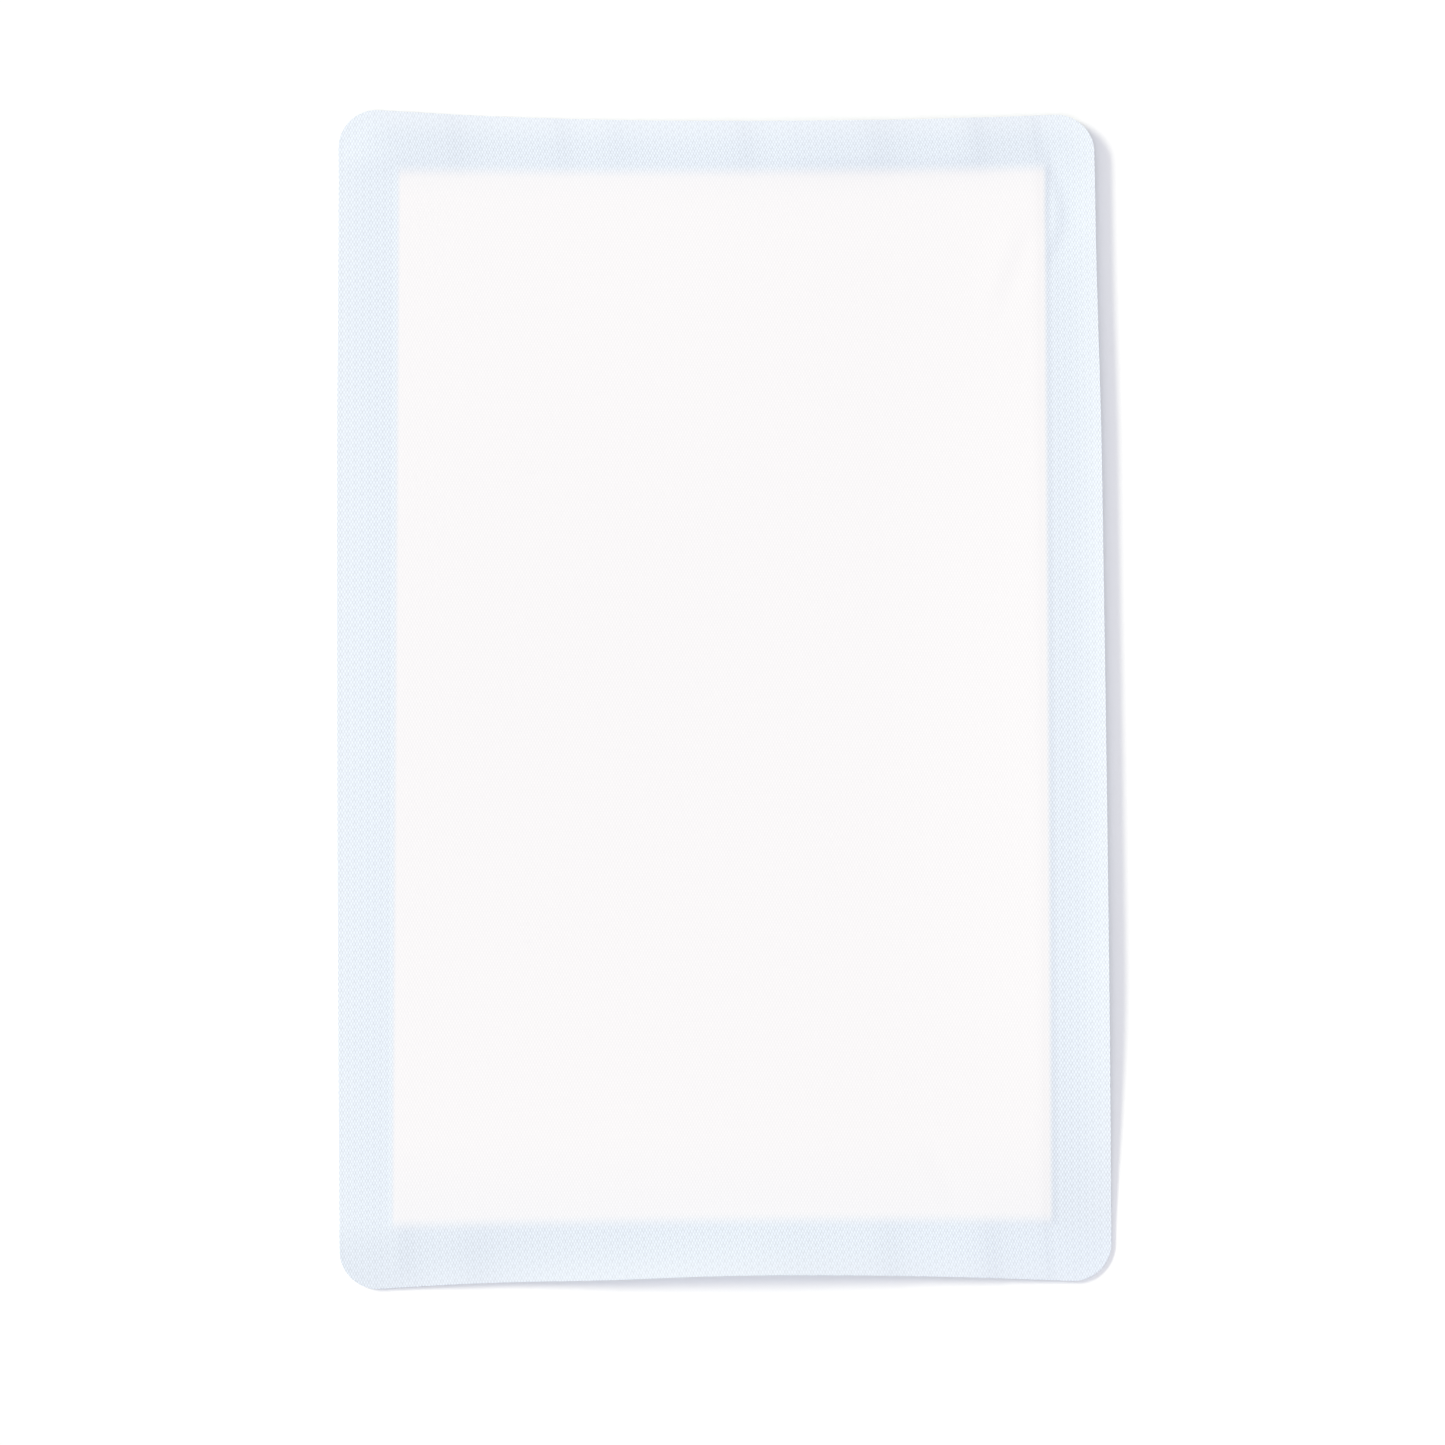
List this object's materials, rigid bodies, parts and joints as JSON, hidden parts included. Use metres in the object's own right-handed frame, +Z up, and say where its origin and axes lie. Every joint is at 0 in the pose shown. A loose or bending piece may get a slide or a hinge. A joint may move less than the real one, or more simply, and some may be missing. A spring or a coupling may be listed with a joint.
{
  "type": "wet palette sheet",
  "caption": "Flexible wet palette sheet: an absorbent core sealed between a fine-mesh mixing membrane and a waterproof backing film, with a flat sealed border and rounded corners.",
  "frame": {"origin": "middle of the underside, on the surface that the sheet lies on", "axes": "+X across the sheet towards the side that lifts along its length, +Y along the sheet away from the end that lifts most, +Z up out of the mixing membrane"},
  "size_m": [0.13, 0.2, 0.0029],
  "materials": {
    "film": "soft translucent film, satin",
    "tissue": "soft tissue",
    "core": "felted absorbent fibre",
    "seal": "clear hot-melt",
    "membrane": "fine matt mesh"
  },
  "bodies": {
    "root": {"backing_film": "film", "carrier_tissue": "tissue", "absorbent_core": "core", "wicking_tissue": "tissue", "seal_frame": "seal", "mixing_membrane": "membrane"}
  },
  "joints": []
}
